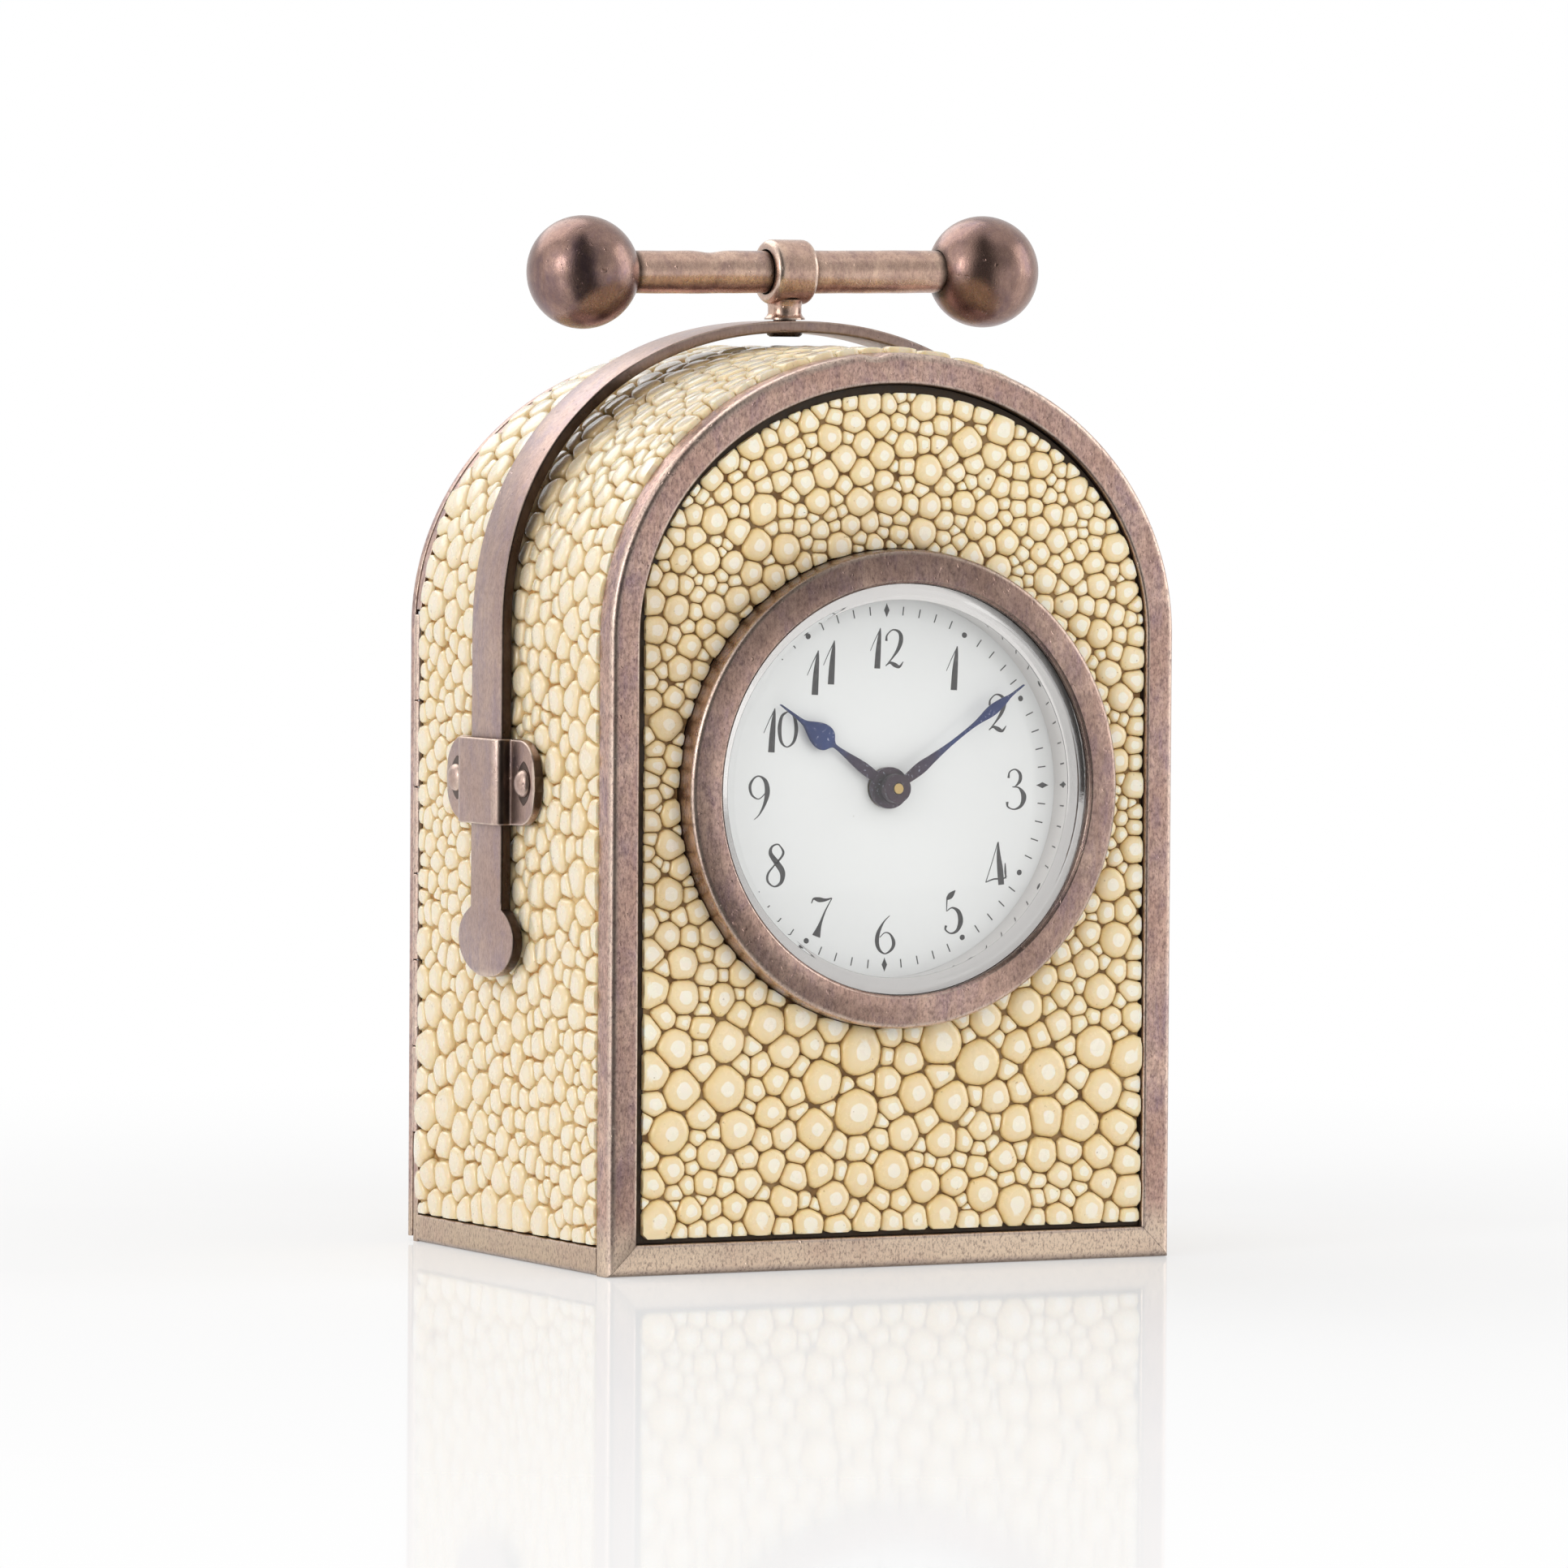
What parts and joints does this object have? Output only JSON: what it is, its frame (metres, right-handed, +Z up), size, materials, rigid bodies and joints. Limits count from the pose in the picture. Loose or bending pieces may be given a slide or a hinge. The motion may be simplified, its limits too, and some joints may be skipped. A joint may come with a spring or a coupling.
{
  "type": "miniature desk clock",
  "caption": "Small arched desk clock with a silver-framed ray-skin case, white dial, bevelled glass, sliding strap handle with a dumb-bell grip and a hinged back door.",
  "frame": {"origin": "centre of the underside of the case, on the table", "axes": "+Z up, the dial faces -Y, +X to the right of someone looking at the dial"},
  "size_m": [0.0502, 0.0366, 0.0766],
  "materials": {
    "silver": "tarnished silver, softly polished",
    "ray_skin": "polished nodules with brown grooves",
    "wood": "plain",
    "brass": "polished",
    "steel": "polished",
    "blued_steel": "blued",
    "glass": "clear, bevelled",
    "enamel": "white enamel"
  },
  "bodies": {
    "case": {"base_plate": "silver", "front_frame_arch": "silver", "front_frame_sill": "silver", "carcass": "wood", "front_board": "wood", "skin_wrap": "ray_skin", "skin_front": "ray_skin", "rear_rim": "silver", "hinge_pin": "steel", "bezel": "silver", "crystal": "glass", "sight_ring": "silver", "dial": "enamel", "movement_ring": "brass", "movement_screw_1": "steel", "movement_screw_2": "steel", "movement_screw_3": "steel", "front_plate": "brass", "back_plate": "brass", "pillar_1": "brass", "pillar_2": "brass", "pillar_3": "brass", "balance_cock": "brass", "hairspring": "blued_steel", "click": "steel", "keeper_left": "silver", "keeper_right": "silver", "keeper_rivet_left_front": "silver", "keeper_rivet_left_rear": "silver", "keeper_rivet_right_front": "silver", "keeper_rivet_right_rear": "silver"},
    "door": {"door_frame": "silver", "door_skin": "ray_skin", "door_panel": "wood"},
    "handle": {"handle_strap": "silver", "handle_collar": "silver", "handle_bar": "silver", "ball_left": "silver", "ball_right": "silver"},
    "minute_arbor": {"centre_arbor": "brass", "cannon_pinion": "steel", "minute_hand": "blued_steel", "setting_knob": "brass"},
    "minute_work": {"minute_wheel": "brass"},
    "hour_pipe": {"hour_wheel": "brass", "hour_hand": "blued_steel"},
    "barrel_drum": {"barrel": "brass", "mainspring": "steel"},
    "centre_train": {"centre_wheel": "brass", "centre_pinion": "steel"},
    "third_train": {"third_wheel": "brass", "third_pinion": "steel"},
    "fourth_train": {"fourth_wheel": "brass", "fourth_pinion": "steel"},
    "escape_train": {"escape_wheel": "brass"},
    "winding": {"barrel_arbor": "steel", "ratchet_wheel": "steel", "winding_knob": "brass"},
    "balance_swing": {"balance": "brass"},
    "pallet_swing": {"pallet_fork": "steel"}
  },
  "joints": [
    {"name": "door_hinge", "type": "hinge", "parent": "case", "child": "door", "pos_m": [-0.02275, 0.01598, 0.0275], "axis": [0, 0, 1], "range_deg": [0, 110]},
    {"name": "handle_slide", "type": "slide", "parent": "case", "child": "handle", "axis": [0, 0, 1], "range_m": [0, 0.0062]},
    {"name": "hand_setting", "type": "hinge", "parent": "case", "child": "minute_arbor", "pos_m": [0, 0, 0.0349], "axis": [0, 1, 0], "continuous": true},
    {"name": "minute_work_spin", "type": "hinge", "parent": "case", "child": "minute_work", "pos_m": [0.00192, 0, 0.03157], "axis": [0, 1, 0], "continuous": true},
    {"name": "hour_spin", "type": "hinge", "parent": "case", "child": "hour_pipe", "pos_m": [0, 0, 0.0349], "axis": [0, 1, 0], "continuous": true},
    {"name": "fourth_spin", "type": "hinge", "parent": "case", "child": "fourth_train", "pos_m": [0.00398, 0, 0.04152], "axis": [0, 1, 0], "continuous": true},
    {"name": "third_spin", "type": "hinge", "parent": "case", "child": "third_train", "pos_m": [0.00564, 0, 0.03695], "axis": [0, 1, 0], "continuous": true},
    {"name": "centre_spin", "type": "hinge", "parent": "case", "child": "centre_train", "pos_m": [0, 0, 0.0349], "axis": [0, 1, 0], "continuous": true},
    {"name": "barrel_spin", "type": "hinge", "parent": "case", "child": "barrel_drum", "pos_m": [-0.00814, 0, 0.0349], "axis": [0, 1, 0], "continuous": true},
    {"name": "escape_spin", "type": "hinge", "parent": "case", "child": "escape_train", "pos_m": [-0.00044, 0, 0.0423], "axis": [0, 1, 0], "continuous": true},
    {"name": "winding_turn", "type": "hinge", "parent": "case", "child": "winding", "pos_m": [-0.00814, 0, 0.0349], "axis": [0, 1, 0], "range_deg": [0, 1620]},
    {"name": "balance_beat", "type": "hinge", "parent": "case", "child": "balance_swing", "pos_m": [-0.00695, 0, 0.0427], "axis": [0, 1, 0], "range_deg": [-135, 135], "stiffness_Nm_per_rad": 0.0000025},
    {"name": "pallet_beat", "type": "hinge", "parent": "case", "child": "pallet_swing", "pos_m": [-0.00338, 0, 0.044], "axis": [0, 1, 0], "range_deg": [-5, 5]}
  ],
  "couplings": [
    {"joint": "minute_work_spin", "follows": "hand_setting", "ratio": -0.33333},
    {"joint": "hour_spin", "follows": "hand_setting", "ratio": 0.083333},
    {"joint": "escape_spin", "follows": "fourth_spin", "ratio": -8.3333},
    {"joint": "third_spin", "follows": "fourth_spin", "ratio": -0.125},
    {"joint": "centre_spin", "follows": "fourth_spin", "ratio": 0.013889},
    {"joint": "barrel_spin", "follows": "fourth_spin", "ratio": -0.0021701}
  ]
}
